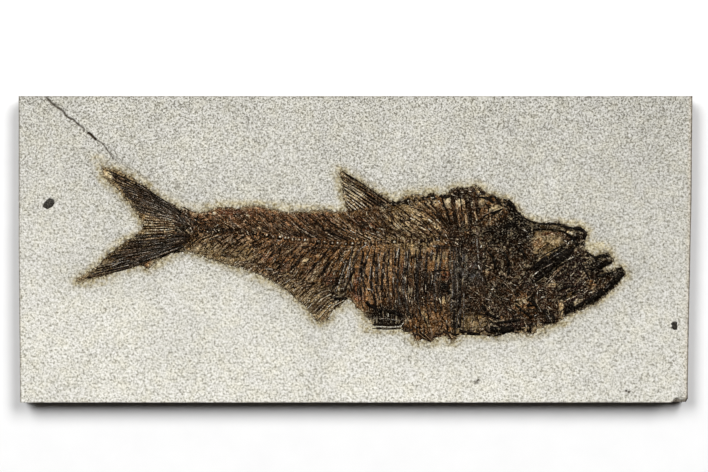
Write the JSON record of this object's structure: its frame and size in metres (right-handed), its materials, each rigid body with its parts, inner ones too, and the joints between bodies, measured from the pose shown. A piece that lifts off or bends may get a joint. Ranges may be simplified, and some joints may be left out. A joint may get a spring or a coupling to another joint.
{
  "type": "fossil fish slab",
  "caption": "Flat fossil of a deep-bellied fish with a forked tail, in low relief on a thin sawn slab of pale limestone that lies face up.",
  "frame": {"origin": "middle of the slab's flat underside", "axes": "+X from the fish's tail to its head along the slab's length, +Y from its belly to its back, +Z out of the fossil's face"},
  "size_m": [0.5056, 0.23, 0.019],
  "materials": {
    "limestone": "dry matt limestone, abraded to a fine even grain, sawn at the edges",
    "fossil_bone": "dark brown mineralised bone and scale film with a soft sheen on its ridges",
    "dark_flake": "grey-black fossil flake, slightly glossy"
  },
  "bodies": {
    "root": {"limestone_slab": "limestone", "fossil_fish": "fossil_bone", "dark_fragment_left": "dark_flake", "dark_fragment_right": "dark_flake"}
  },
  "joints": []
}
